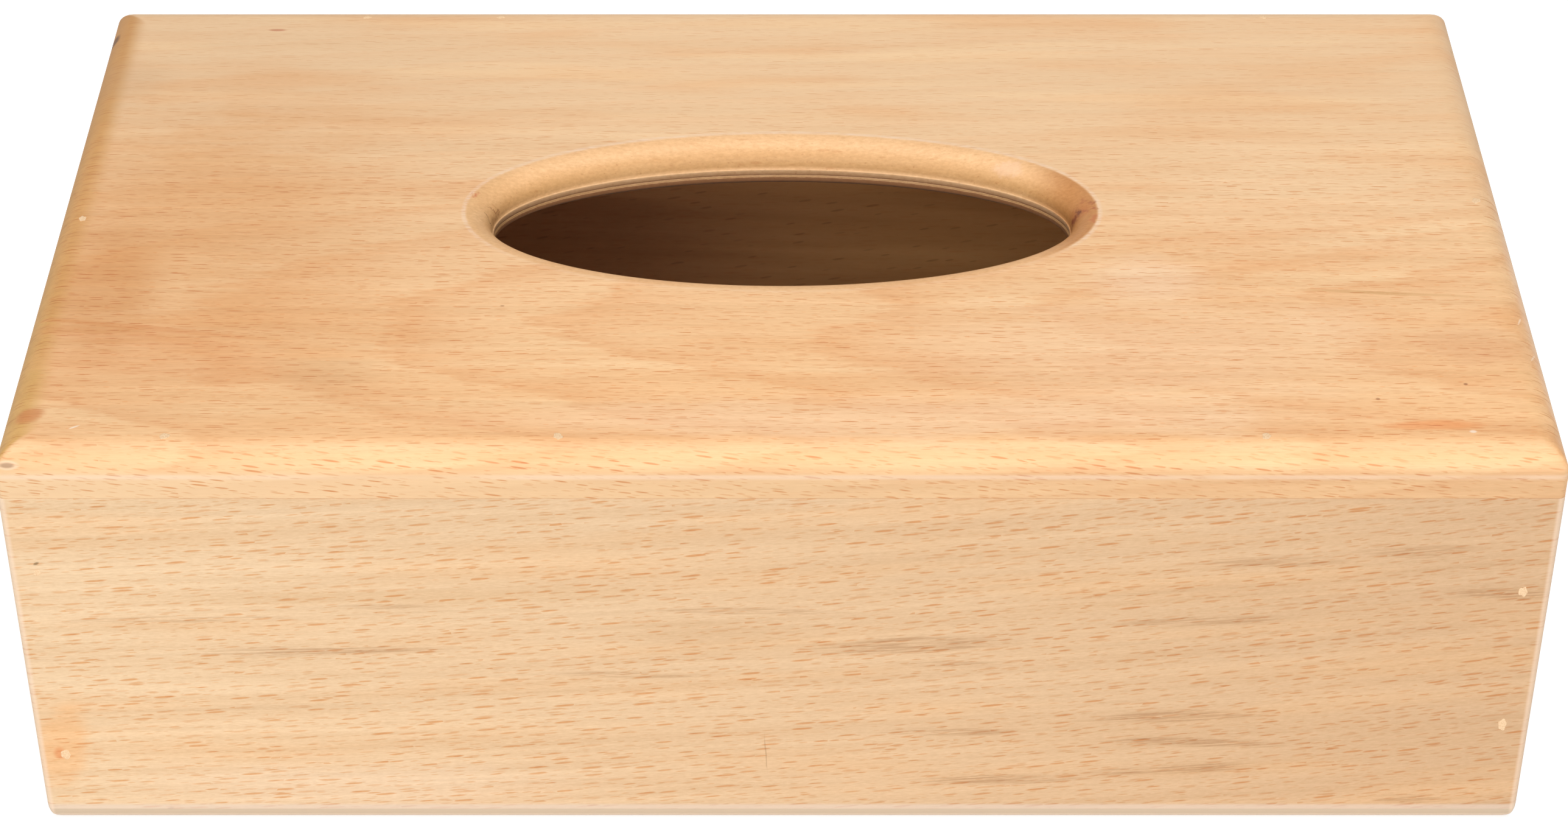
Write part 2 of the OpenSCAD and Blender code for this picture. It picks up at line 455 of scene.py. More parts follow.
def addMarks(colour, surface, marks, torn=False):
    # marks laid over a colour one after another, their outlines wandering with the grain, or torn too
    for entry in marks:
        stray = calc("MULTIPLY_ADD", surface["wobble"], entry["half"][1], -0.5 * entry["half"][1])
        moved = calcVector("ADD", surface["place"], join(0.0, stray, 0.0))
        if torn:
            moved = calcVector("ADD", moved, surface["torn"])
        mask = useGroup(softMark, Place=moved, Centre=entry["at"], Half=entry["half"],
                        Turn=math.radians(entry["turn"]), Soft=entry["soft"])
        if entry["grainy"]:
            lines = remap(surface["lines"], 0.0, 1.0, 1 - entry["grainy"], 1.0)
            mask = product(mask, lines)
        colour = tint(product(mask, entry["share"]), colour, srgb(*entry["colour"]))
    return colour


def figure(wood, along, across, place, grain):
    # the colour drifts over the board, with soft clouds along the grain and the growth rings over it
    drift, rings = wood["gradient"], wood["rings"]
    side = along if drift["axis"] == "along" else across
    colour = tint(remap(side, *drift["reach"], kind="LINEAR"),
                  srgb(*drift["from"]), srgb(*drift["to"]))
    for cloud in wood["clouds"]:
        share = remap(noise(grain, cloud["size"]), cloud["low"], cloud["high"])
        colour = tint(product(share, cloud["share"]), colour, srgb(*cloud["colour"]))
    ring = useGroup(growthRings, Place=place, Heart=rings["heart"],
                    Deep=rings["deep"], Fall=rings["fall"], Spacing=rings["spacing"])
    share = remap(across, *rings["reach"], *rings["share"])
    return tint(product(ring, share), colour, srgb(*rings["colour"]))


def endGrain(ends, along, across, colour):
    # end grain shows where the board ends; with mitre lines, it also stops at those and darkens backwards
    share = product(remap(calc("ABSOLUTE", along), *ends["reach"]),
                    remap(along, -1.0, 1.0, *ends["share"]))
    endColour, longSide = srgb(*ends["colour"]), 0.0
    if "mitre" in ends:
        endX, sideY = ends["mitre"]
        fromEnd = calc("SUBTRACT", endX, calc("ABSOLUTE", along))
        fromSide = calc("SUBTRACT", sideY, calc("ABSOLUTE", across))
        longSide = remap(calc("SUBTRACT", fromEnd, fromSide), -0.6, 0.6)
        share = product(share, calc("SUBTRACT", 1.0, longSide))
        backwards = remap(across, -sideY, sideY, kind="LINEAR")
        endColour = tint(backwards, srgb(*ends["frontColour"]), endColour)
    return tint(share, colour, endColour), longSide


def startBeech(name, wood):
    # the board's own frame is along the grain, across it and out of the face, in mm
    material = newMaterial(name)
    part = put("SeparateXYZ", {0: put("TexCoord").outputs["Object"]}).outputs
    along, across, out = (calc("MULTIPLY_ADD", part[axis], sign / mm, -shift)
                          for axis, sign, shift in wood["axes"])
    place = join(along, across, out)
    climb = product(along, calc("MULTIPLY_ADD", along, wood["bend"], wood["slope"]))
    straight = calc("MULTIPLY_ADD", noise(place, beechSizes["sway"], 1.0), wood["sway"],
                    calc("SUBTRACT", across, climb))
    grain = join(along, straight, out)
    colour = figure(wood, along, across, place, grain)
    colour, longSide = endGrain(wood["endGrain"], along, across, colour)

    lineLength, lineWidth = beechSizes["line"]
    lines = useGroup(woodFibre, Place=grain, Length=lineLength, Width=lineWidth)
    bits = {"Vector": calcVector("DIVIDE", place, beechSizes["torn"]), "Scale": 1.0, "Detail": 4.0}
    bits = calcVector("SUBTRACT", put("TexNoise", bits).outputs["Color"], (0.5, 0.5, 0.5))
    surface = {"place": place, "wobble": noise(grain, beechSizes["wobble"]),
               "lines": remap(lines, 0.58, 0.42),
               "torn": calcVector("MULTIPLY", bits, beechSizes["tornPush"])}
    colour = addMarks(colour, surface, wood["marks"])
    fibres = {label: useGroup(woodFibre, Place=grain, Length=size[0], Width=size[1])
              for label, size in wood["fibres"].items()}
    tone = 0.0
    for label, share in wood["tones"].items():
        tone = calc("MULTIPLY_ADD", calc("SUBTRACT", fibres[label], 0.5), share, tone)
    calm = remap(across, *wood["calm"]["reach"], 1.0, wood["calm"]["least"])
    colour = toned(colour, product(tone, calm))
    height = product(fibres["fine"], 0.5)
    return material, {"grain": grain, "along": along, "across": across, "out": out, "fibres": fibres,
                      "calm": calm, "longSide": longSide, "surface": surface,
                      "colour": colour, "height": height}


def finishBeech(parts, wood):
    # the satin oil finish, whose gloss varies with the fibres
    rough = remap(parts["fibres"]["fine"], 0.3, 0.7, *wood["roughness"], "LINEAR")
    bump = put("Bump", {"Strength": wood["bump"], "Distance": 0.04 * mm, "Height": parts["height"]})
    surface = put("BsdfPrincipled", {"Base Color": parts["colour"], "Roughness": rough,
                                     "Specular IOR Level": 0.35, "Normal": bump.outputs[0]})
    put("OutputMaterial", {"Surface": surface.outputs[0]})


# Top board

topLow, topHigh = nodeBox("top_board")
faceRelief = 0.04  # mm that the faces lie inside the CAD box, so that filler can stand proud of them
farOff = -20.0  # what rimRun holds where there is no rim
topBoard = {
    "edgeRound": 5.0,  # mm, as all sizes here are
    "cornerRound": 1.2,
    "seamEase": 0.15,
    "opening": (104.0, 41.0),
    "rimRound": 4.8,
    "rimLedge": 0.2,
    "underBevel": (3.0, 2.2),  # how far it goes outwards and upwards
    # the wall outwards and down from where the rim ends, with its ledge and one cutter groove
    "wall": ((0.17, 0.02), (0.02, 0.05), (0.0, 0.2), (0.06, 0.9), (0.12, 1.12),
             (0.2, 1.2), (0.2, 1.3), (0.1, 1.4), (0.02, 1.6), (0.0, 2.0)),
    "perSide": 100,  # points on each side of the outline, and spans on each corner
    "perCorner": 8,
}
topWood = {
    "axes": ((0, 1, 0), (1, 1, 0), (2, 1, topHigh[2])),
    "slope": -0.008, "bend": 0, "sway": 3, "calm": {"reach": (0, 45), "least": 0.45},
    "gradient": {"axis": "across", "reach": (-60, 40), "from": (243, 193, 140), "to": (234, 196, 153)},
    "clouds": [
        {"size": (60, 12, 12), "low": 0.45, "high": 0.68, "share": 0.4, "colour": (228, 168, 112)},
        {"size": (90, 7, 7), "low": 0.5, "high": 0.7, "share": 0.4, "colour": (248, 210, 162)},
    ],
    "lighter": {"reach": (-110, -20), "gain": 1.07},
    "lowEdge": {"along": (-60, 110), "gain": (0.955, 0.895)},
    "paleEdge": {"along": (-125, 125), "share": (0.8, 0.1), "onRound": 0.2, "colour": (244, 210, 166)},
    "fringe": {"across": (-16, -7), "least": 0.25, "share": (0.12, 0.5), "colour": (248, 220, 196)},
    "mottle": {"size": (1.1, 0.5, 0.5), "tone": 0.6},
    "jagged": {"size": (1.6, 1.6, 0.5), "push": 0.4},
    # a pale line at the foot of the edge round: worn arris and painted sheen
    "wornAndSheen": {"size": (22, 9, 9), "least": 0.25, "colour": (250, 224, 200)},
    "rings": {"heart": -36, "deep": 60, "fall": 0.12, "spacing": 4.6,
              "reach": (-25, 25), "share": (0.62, 0.16), "colour": (226, 161, 104)},
    "fibres": {"fine": (8, 0.14), "short": (2.4, 0.3), "long": (50, 0.9), "band": (160, 4)},
    "tones": {"fine": 0.30, "short": 0.26, "long": 0.26, "band": 0.3},
    "flecks": [
        flecks((0, 0, 0), (3.9, 1.3, 7), (1.7, 0.13, 6), 1, 0.95, (0.76, 0.5, 0.32)),
        flecks((13, 7, 5), (2.8, 0.9, 6), (0.9, 0.08, 5), 0.85, 0.6, (0.78, 0.54, 0.38)),
        flecks((4, 2, 9), (3.4, 1.5, 6), (0.6, 0.17, 5), 0.6, 0.5, (0.93, 0.66, 0.44)),
    ],
    "rimPores": [
        flecks((5, 3, 2), (0.9, 0.7, 0.9), (0.24, 0.08, 0.3), 0.7, 0.42, (0.72, 0.52, 0.4)),
        flecks((1, 9, 6), (3, 1.6, 1.6), (1.3, 0.22, 0.4), 0.6, 0.4, (0.78, 0.6, 0.46)),
    ],
    "edgeFlecks": [
        flecks((3, 1, 0), (4.4, 1.25, 7), (1.6, 0.18, 6), 1, 0.95, (0.8, 0.52, 0.34), 0.14),
        flecks((11, 4, 5), (3, 0.9, 6), (0.9, 0.13, 5), 0.8, 0.6, (0.84, 0.62, 0.46), 0.14),
    ],
    "marks": [
        mark((-110, -36.5), (30, 1), 0.55, (216, 140, 82), turn=-9, grainy=0.3),
        mark((-112, -39.5), (26, 3.6), 0.4, (222, 150, 94), turn=-9),
        mark((-106, -47), (30, 7), 0.45, (226, 160, 104), turn=-5),
        mark((106, -26.2), (20, 0.7), 0.6, (192, 144, 84), turn=-4, grainy=0.5),
        mark((118.5, -42), (14, 7), 0.38, (216, 154, 106), turn=-12),
        mark((50, -64), (14, 1.8), 0.45, (228, 158, 96), turn=2),
        mark((108, -64.3), (11, 1.8), 0.6, (236, 150, 86), turn=2),
        mark((98, -71), (34, 3.5), 0.26, (240, 184, 126), out=-1.5, soft=0.8),
        mark((-12, -72), (75, 3), 0.35, (222, 176, 124), out=-7.5, deep=4.5, soft=0.8),
        mark((-125.2, -61.5), (3.6, 2.6), 0.7, (206, 128, 72), turn=40),
        mark((-128.9, 61), (1.6, 2.2), 0.85, (104, 66, 38), out=-2.2, deep=2.6),
        mark((-105, 0), (44, 50), 0.5, (222, 158, 96), soft=0.8),
        mark((-118, -26), (13, 26), 0.5, (206, 136, 70), soft=0.7),
        mark((60, -44), (62, 24), 0.4, (243, 204, 165), soft=0.8),
        mark((20, -62.5), (98, 8), 0.42, (246, 208, 170), soft=0.7),
        mark((-86, -36), (34, 16), 0.32, (224, 156, 92), soft=0.8),
        mark((92, 4), (46, 26), 0.3, (248, 214, 172), soft=0.8),
        mark((64, -22), (15, 9), 0.42, (248, 214, 180), soft=0.8),
        mark((95, -36), (12, 9), 0.34, (250, 214, 172), soft=0.8),
        mark((73, -63), (10, 7), 0.34, (250, 214, 172), soft=0.8),
        mark((-77, -50), (13, 8), 0.28, (206, 160, 112), soft=0.8),
        mark((-124, 44), (12, 12), 0.26, (200, 156, 112), soft=0.8),
        mark((-97.5, 62.4), (2.2, 0.6), 0.6, (186, 98, 62)),
        mark((129, 57), (0.8, 1), 0.6, (150, 100, 62)),
        mark((-48.4, -30), (0.5, 0.35), 0.5, (160, 100, 62)),
        mark((115.1, -52.8), (0.5, 0.4), 0.8, (150, 92, 56)),
        mark((99.8, -57), (0.5, 0.4), 0.7, (160, 100, 60)),
        mark((114.4, -66), (0.8, 0.5), 0.7, (255, 238, 220)),
        mark((-117.2, -64.8), (1.2, 0.25), 0.7, (255, 240, 220), turn=30),
        mark((127.2, -34), (1.6, 0.2), 0.6, (255, 232, 205), turn=70, out=-0.6),
        mark((128, -44), (2, 0.2), 0.6, (255, 232, 205), turn=66, out=-0.9),
        mark((130, -26), (3.4, 58), 0.5, (255, 220, 188), out=-3.4, deep=4.6, soft=0.6),
        mark((-127.6, -71.4), (2.4, 1.4), 0.45, (252, 226, 200), out=-2.9, deep=1, soft=0.4),
        mark((-127.6, -71.4), (1.7, 1.2), 0.85, (146, 106, 74), out=-2.9, deep=0.6),
        mark((-125.6, -72), (3.6, 1.5), 0.7, (214, 142, 84), out=-8.6, deep=0.5, grainy=0.5),
        mark((-125, -72), (4, 1.5), 0.6, (216, 148, 90), out=-10, deep=0.5, grainy=0.5),
    ],
    "rimEnds": [
        ((43, 53), 0.88, (193, 129, 70)),
        ((-46, -54), 0.5, (220, 172, 118)),
    ],
    "rimMarks": [
        mark((52.9, 0.9), (1.9, 3.6), 0.6, (170, 100, 54), out=-2.6, deep=3.4, soft=0.9),
        mark((52.7, 0.3), (0.9, 1.6), 0.85, (128, 58, 34), out=-3.2, deep=2.4, soft=0.7),
        mark((54.4, 1.4), (2.2, 3), 0.5, (190, 112, 60), out=-1, deep=2.2, soft=0.9),
        mark((53.5, 1.3), (0.8, 1.5), 0.85, (104, 50, 38), out=-1.5, deep=1.2, soft=0.9),
        mark((54.6, 0.7), (1.2, 0.6), 0.6, (166, 88, 60), out=-0.8, deep=1, turn=-20, soft=0.9),
        mark((56.1, 2.3), (1.1, 0.9), 0.7, (160, 86, 54), out=-0.2, deep=1, soft=0.9),
        mark((54.6, 3.6), (1.3, 0.9), 0.6, (172, 100, 62), out=-0.7, deep=1, soft=0.9),
        mark((56.2, 0.6), (0.9, 0.5), 0.7, (170, 90, 56), out=-0.3, deep=1, turn=30, soft=0.7),
        mark((55.9, -2.8), (0.9, 1.9), 0.6, (196, 112, 70), out=-0.2, deep=1.5, turn=-15, soft=0.7),
        # a pale worn patch, painted as a sheen as well
        mark((41.5, 15), (4, 2.6), 0.35, (246, 206, 176), out=-1.2, deep=1.6),
        mark((-55.4, 4.8), (0.8, 1.4), 0.75, (206, 118, 76), out=-0.3, deep=1.2, soft=0.7),
        mark((-53.1, 0.5), (1.7, 0.2), 0.9, (140, 88, 50), out=-2.6, deep=2.6, turn=-42),
        mark((-52, 3.6), (2.6, 0.2), 0.8, (160, 100, 58), out=-2.9, deep=2.4, turn=30),
        mark((-51.8, 2.2), (0.8, 2.2), 0.6, (176, 122, 74), out=-3.8, deep=1.2, turn=-14, soft=0.8),
    ],
    "endGrain": {"reach": (122.5, 126.5), "share": (0.95, 0.1), "colour": (198, 142, 80),
                 "frontColour": (217, 168, 97), "mitre": (topHigh[0], topHigh[1])},
    "roughness": (0.42, 0.56), "bump": 0.35,
}


def outlineAt(half, inset, corner, perSide, perCorner):
    # a rectangle drawn in by inset, with rounded corners, counterclockwise: each corner's arc and then
    # evenly spaced points along the side that follows; inset is a column, one row of points for each
    turn = np.linspace(0, quarterTurn, perCorner + 1)
    along = np.arange(1, perSide) / perSide
    loop = []
    signs = ((1, 1), (-1, 1), (-1, -1), (1, -1))
    for k, (signX, signY) in enumerate(signs):
        nextX, nextY = signs[(k + 1) % 4]
        angle = turn + k * quarterTurn
        reach = np.array(half) - inset - corner
        arc = np.stack([signX * reach[:, :1] + corner * np.cos(angle),
                        signY * reach[:, 1:] + corner * np.sin(angle)], -1)
        end = arc[:, -1:]
        start = np.stack([nextX * reach[:, :1] + corner * np.cos(angle[-1:]),
                          nextY * reach[:, 1:] + corner * np.sin(angle[-1:])], -1)
        loop += [arc, end + (start - end) * along[None, :, None]]
    return np.concatenate(loop, axis=1)


def ovalAt(half, angle, offset):
    # an ellipse (a cos t, b sin t) moved outwards by offset along its own normal
    a, b = half
    normal = np.stack([np.cos(angle) / a, np.sin(angle) / b], -1)
    normal /= np.linalg.norm(normal, axis=-1, keepdims=True)
    return np.stack([a * np.cos(angle), b * np.sin(angle)], -1) + offset[:, :, None] * normal


def profile(*stations):  # stations, joined into one column for each of their two numbers
    return [np.concatenate([np.atleast_1d(s[k]) for s in stations])[:, None] for k in range(2)]


def topShell(board, low, high):
    # a profile carried round the board: up the outer edge, over the edge round, across the top to the
    # oval, over its rim and down its wall, and back under the board, which closes the loop
    top, under = high[2] - faceRelief, low[2]
    half = (high[:2] - low[:2]) / 2
    turn = np.linspace(0, quarterTurn, 13)
    ease, edge = board["seamEase"], board["edgeRound"]
    arrisZ = high[2] - edge
    outIn, outZ = profile(
        (ease + 0.4, under), (ease * (1 - np.sin(turn[::4])), under + ease * (1 - np.cos(turn[::4]))),
        (0.0, under + ease + 0.2), (0.0, arrisZ - 0.5), (0.0, arrisZ),
        (edge * (1 - np.cos(turn[1:])), arrisZ + (top - arrisZ) * np.sin(turn[1:])),
        (edge + 0.4, top))
    rim, ledge, wall = board["rimRound"], board["rimLedge"], np.array(board["wall"])
    slant, lip = board["underBevel"]
    landZ, lipZ = high[2] - rim, under + lip
    inOut, inZ = profile(
        (rim + ledge + 0.5, top), (rim + ledge + 0.1, top), (rim + ledge, top - 0.005),
        (ledge + rim * (1 - np.sin(turn[1:])), landZ + (top - landZ) * np.cos(turn[1:])),
        (wall[:, 0], landZ - wall[:, 1]), (0.0, lipZ + 0.12), (0.06, lipZ),
        (slant * 0.5, (lipZ + under) / 2), (slant - 0.1, under + 0.04), (slant + 0.1, under))
    corners = (board["cornerRound"], board["perSide"], board["perCorner"])
    outer = outlineAt(half, outIn, *corners)
    face = outlineAt(half, np.array([[edge]]), *corners)[0]
    angle = np.arctan2(face[:, 1] / half[1], face[:, 0] / half[0])[None, :]
    oval = ovalAt(np.array(board["opening"]) / 2, angle, inOut)
    outer = np.dstack([outer, np.broadcast_to(outZ, outer.shape[:2])])
    oval = np.dstack([oval, np.broadcast_to(inZ, oval.shape[:2])])
    share = np.linspace(0, 1, 8)[1:-1, None, None]
    across = outer[-1] + (oval[0] - outer[-1]) * share
    beneath = oval[-1] + (outer[0] - oval[-1]) * share

    # distances along the profile, from where the rim begins and from where the edge round begins
    run = np.concatenate([[0], np.cumsum(np.hypot(np.diff(inOut[:, 0]), np.diff(inZ[:, 0])))])
    away = np.full(len(share), farOff)
    rimRun = np.concatenate([np.full(len(outIn), farOff), away, run - run[2], away])
    down = np.concatenate([[0], np.cumsum(np.hypot(np.diff(outIn[:, 0]), np.diff(outZ[:, 0])))])
    elsewhere = np.zeros(len(share) + len(inOut) + len(share))
    edgeRun = np.concatenate([np.clip(down[-2] - down, 0, None), elsewhere])
    points = np.concatenate([outer, across, oval, beneath])
    return {"points": points, "rowsClose": True,
            "values": {"rimRun": rimRun[:, None], "edgeRun": edgeRun[:, None]}}


rimBandsAndShade = [  # from, to and softness in mm down from the wall's upper edge, then share and colour
    (-8.0, 6.0, 0.5, 0.6, (238, 183, 124)),
    (-3.2, -0.35, 1.8, 0.65, (208, 154, 90)),
    (-0.3, -0.1, 0.1, 0.6, (222, 184, 140)),
    (0.0, 1.0, 0.15, 0.8, (224, 182, 138)),
    # painted shade from here down: the land darker towards its foot, the groove's dark line, and below the
    # golden band the wall, which is also browned end grain
    (0.35, 1.0, 0.3, 0.5, (188, 138, 94)),
    (0.85, 1.0, 0.15, 0.5, (166, 112, 70)),
    (1.05, 1.3, 0.08, 0.75, (128, 82, 46)),
    (1.34, 1.58, 0.06, 0.95, (182, 138, 88)),
    (1.66, 6.0, 0.12, 0.95, (150, 102, 66)),
]


def edgeColours(parts, edge):
    # edge is 0 where the long edge's round begins and 1 where it ends; the long edges are paler, the
    # more so towards the left below the round
    along, longSide = parts["along"], parts["longSide"]
    pale, lighter, lowEdge = topWood["paleEdge"], topWood["lighter"], topWood["lowEdge"]
    share = product(remap(edge, 0.7, 1.0),
                    remap(along, *pale["along"], *pale["share"], "LINEAR"))
    share = calc("MAXIMUM", share, remap(edge, 0.0, 0.3, 0.0, pale["onRound"]))
    paint(parts, product(share, longSide), pale["colour"])
    # the face is lighter from its left quarter rightwards, and the edge below the round darker
    gain = remap(along, *lighter["reach"], 1.0, lighter["gain"])
    below = product(remap(edge, 0.6, 1.0), longSide)
    low = remap(along, *lowEdge["along"], *lowEdge["gain"], "LINEAR")
    gain = calc("MULTIPLY_ADD", calc("SUBTRACT", low, gain), below, gain)
    parts["colour"] = calcVector("MULTIPLY", parts["colour"], join(gain, gain, gain))


def rimColours(parts, run, onRim):
    place, across = parts["surface"]["place"], parts["across"]
    wallStart = quarterTurn * topBoard["rimRound"] + topBoard["rimLedge"]
    thickness = topHigh[2] - topLow[2]
    jagged = calc("SUBTRACT", noise(place, topWood["jagged"]["size"], 3.0, 0.7), 0.5)
    ragged = calc("MULTIPLY_ADD", jagged, topWood["jagged"]["push"],
                  calc("SUBTRACT", run, wallStart))
    aboveUnder = remap(parts["out"], 0.05 - thickness, 0.15 - thickness)
    # a pale torn fringe where the rim begins, then the bands, some of them painted shade down the wall and
    # in its groove, browner ends and a fine mottle
    fringe = topWood["fringe"]
    share = product(remap(run, -1.2, -0.1), remap(run, 0.6, 0.0),
                    remap(across, *fringe["across"], fringe["least"], 1.0),
                    remap(parts["fibres"]["short"], 0.42, 0.6, *fringe["share"]))
    paint(parts, share, fringe["colour"])
    for low, high, soft, share, levels in rimBandsAndShade:
        band = product(remap(ragged, low - soft, low + soft),
                       remap(ragged, high + soft, high - soft), onRim, aboveUnder, share)
        paint(parts, band, levels)
    for reach, share, levels in topWood["rimEnds"]:
        atEnd = product(remap(parts["along"], *reach), onRim, share,
                        remap(ragged, 0.3, -0.3))
        paint(parts, atEnd, levels)
    mottle = calc("SUBTRACT", noise(place, topWood["mottle"]["size"], 4.0, 0.65), 0.5)
    mottle = product(mottle, onRim, topWood["mottle"]["tone"])
    parts["colour"] = toned(parts["colour"], mottle)
    addFlecks(parts, topWood["rimPores"], onRim)
    parts["colour"] = addMarks(parts["colour"], parts["surface"], topWood["rimMarks"], True)


def wornLineAndSheen(parts, edge):
    # where the edge round ends, a soft pale line, stronger here and there: partly a sanded, worn arris and
    # partly a painted sheen in place of its highlight
    wornAndSheen = topWood["wornAndSheen"]
    patchy = noise(parts["surface"]["place"], wornAndSheen["size"])
    patchy = remap(patchy, 0.36, 0.62, wornAndSheen["least"], 1.0)
    share = product(remap(edge, 0.9, 0.985), remap(edge, 1.1, 1.0, 0.0, 0.4), patchy)
    paint(parts, share, wornAndSheen["colour"])


def topMaterial():
    material, parts = startBeech("beechTop", topWood)
    run = put("Attribute", attribute_name="rimRun").outputs["Fac"]
    edgeRun = put("Attribute", attribute_name="edgeRun").outputs["Fac"]
    edge = calc("DIVIDE", edgeRun, quarterTurn * topBoard["edgeRound"])
    onRim = remap(run, -0.1, 0.6)
    edgeColours(parts, edge)
    # bold flecks on the long edges, where they run down the round, and plain ones on the face
    bold = product(remap(edge, 0.1, 0.7), parts["longSide"])
    plain = calc("SUBTRACT", 1.0, calc("MAXIMUM", bold, product(onRim, 0.9)))
    addFlecks(parts, topWood["flecks"], product(plain, parts["calm"]))
    down = join(parts["along"], edgeRun, product(parts["across"], 0.2))
    addFlecks(parts, topWood["edgeFlecks"], bold, down)
    rimColours(parts, run, onRim)
    wornLineAndSheen(parts, edge)
    finishBeech(parts, topWood)
    return material


makePiece("beech_top", [topShell(topBoard, topLow, topHigh)], topMaterial(), ["top_board"])
print("top board made")

# Front and back boards

longBoard = {
    "cornerRound": 1, "footRound": 2, "seamEase": 0.15, "innerFootRound": 0.5,
    "cornerHighlight": (246, 220, 194), "cornerHighlightShare": 0.55,
    "cornerHighlightReach": (1.5, 0.8),  # mm from the board's end, where the corner round gets a painted highlight
    "endFace": (0.02, 0.14),
}
# partly painted light and shade: the first tint is painted light from the floor, the second painted shade
# where the foot round turns under, the third paler again lowest down, painted light too
footTints = [  # heights between which the tint comes in, its share and its colour
    ((4.1, 3.4), 0.6, (229, 209, 191)),
    ((2.9, 2.5), 0.85, (208, 186, 158)),
    ((1.75, 1.3), 0.8, (234, 210, 184)),
]
frontWood = {
    "slope": 0.065, "bend": 0.00015, "sway": 2,
    "gradient": {"axis": "along", "reach": (-120, 120), "from": (236, 203, 162), "to": (214, 175, 134)},
    "clouds": [
        {"size": (80, 9, 9), "low": 0.45, "high": 0.7, "share": 0.4, "colour": (232, 186, 136)},
        {"size": (110, 2.4, 2.4), "low": 0.56, "high": 0.74, "share": 0.25, "colour": (208, 172, 132)},
    ],
    "rings": {"heart": -30, "deep": 160, "fall": 0, "spacing": 6,
              "reach": (0, 80), "share": (0.1, 0.16), "colour": (222, 176, 126)},
    "fibres": {"fine": (3.5, 0.14), "short": (1.3, 0.3), "long": (50, 1.1), "band": (160, 4)},
    "tones": {"fine": 0.3, "short": 0.34, "long": 0.26, "band": 0.34},
    "flecks": [
        flecks((0, 0, 0), (4.6, 1.45, 7), (2.1, 0.25, 6), 0.9, 0.94, (0.86, 0.6, 0.39), 0.05),
        flecks((17, 9, 3), (3, 1, 6), (1.1, 0.15, 5), 0.6, 0.75, (0.87, 0.66, 0.48), 0.05),
    ],
    "innerFlecks": [
        flecks((7, 2, 0), (6.5, 2.6, 7), (1.5, 0.26, 6), 0.7, 0.55, (0.62, 0.5, 0.4), 0.22),
    ],
    "calm": {"reach": (0, 1), "least": 1},
    "endGrain": {"reach": (129.86, 129.98), "share": (0.5, 0.5), "colour": (196, 144, 92)},
    "roughness": (0.46, 0.6), "bump": 0.35,
}
insideFaceAndPaintedLight = {  # bare wood inside, browner and darker than the outside, partly as painted shade; lighter towards the right as painted light coming in through the opening
    "reach": (-8.6, -9.3),  # mm out of the front, between which it begins
    "share": 0.75,
    "along": (-50, 40),
    "from": (204, 128, 62),
    "to": (255, 188, 106),
    "outerFlecks": 0.25,  # what is left of the front's own flecks
    "bands": (60, 5, 5),
    "bandTone": 0.7,
}
greyStreaks = [  # middle along and across, half along and across, share, turn, soft, grainy
    (-78, 39.4, 30, 1.5, 0.55, 1, 0.9, 0.8),
    (-74, 39.2, 18, 0.7, 0.25, 0, 0.6, 0.3),
    (-102, 46.4, 26, 1, 0.36, 1, 0.6, 0.85),
    (-66, 49.2, 12, 0.8, 0.3, 0, 0.6, 0.85),
    (-26, 34, 17, 0.9, 0.36, -1, 0.6, 0.85),
    (-6, 48.2, 20, 0.9, 0.4, -1, 0.6, 0.8),
    (22, 40.6, 22, 2.6, 0.5, 2, 0.6, 0.85),
    (30, 36.4, 14, 1, 0.34, 0, 0.6, 0.85),
    (72, 46, 20, 1.6, 0.4, 3, 0.6, 0.9),
    (82, 59, 18, 1.8, 0.36, 0, 0.6, 0.9),
    (107, 61.5, 13, 1.8, 0.42, 2, 0.6, 0.9),
    (122, 52, 12, 1.4, 0.5, -2, 0.6, 0.85),
    (68, 24.4, 20, 1.7, 0.56, 3, 0.6, 0.85),
    (29, 20.8, 15, 1.2, 0.45, 1, 0.6, 0.85),
    (72, 18.4, 20, 1.5, 0.54, -2, 0.6, 0.85),
    (38, 9.6, 18, 1.5, 0.54, 1, 0.6, 0.85),
    (68, 12, 18, 1.5, 0.5, 4, 0.6, 0.85),
    (110, 5, 8, 1.4, 0.42, 0, 0.6, 0.85),
]
frontMarks = [
    mark((-60, 51.5), (60, 2.2), 0.2, (208, 166, 116), turn=1),
    *(mark((x, z), (long, wide), share, (171, 122, 77), turn=turn, soft=soft, grainy=grainy)
      for x, z, long, wide, share, turn, soft, grainy in greyStreaks),
    mark((-12, 43), (26, 6), 0.3, (206, 164, 118), soft=0.8),
    mark((-75, 8), (55, 9), 0.3, (240, 212, 182), soft=0.8),
    mark((-125.6, 17.5), (5.5, 13), 0.5, (240, 178, 114), turn=-14),
    mark((-126.2, 15.9), (1.5, 1.8), 0.6, (226, 138, 78)),
    mark((-125.2, 58.6), (0.7, 0.35), 0.8, (140, 122, 88), turn=30),
    mark((-2.8, 16), (0.16, 5.5), 0.5, (176, 134, 96), turn=3),
    mark((-108.2, 2.8), (0.9, 0.4), 0.4, (150, 108, 74), turn=20),
]


def sandedFootAndPaintedLight(parts):
    # the wood is paler above the foot and duller where its round turns under: partly sanding, partly
    # painted light from the floor above and painted shade where the round turns under
    for reach, share, levels in footTints:
        paint(parts, product(remap(parts["across"], *reach), share), levels)


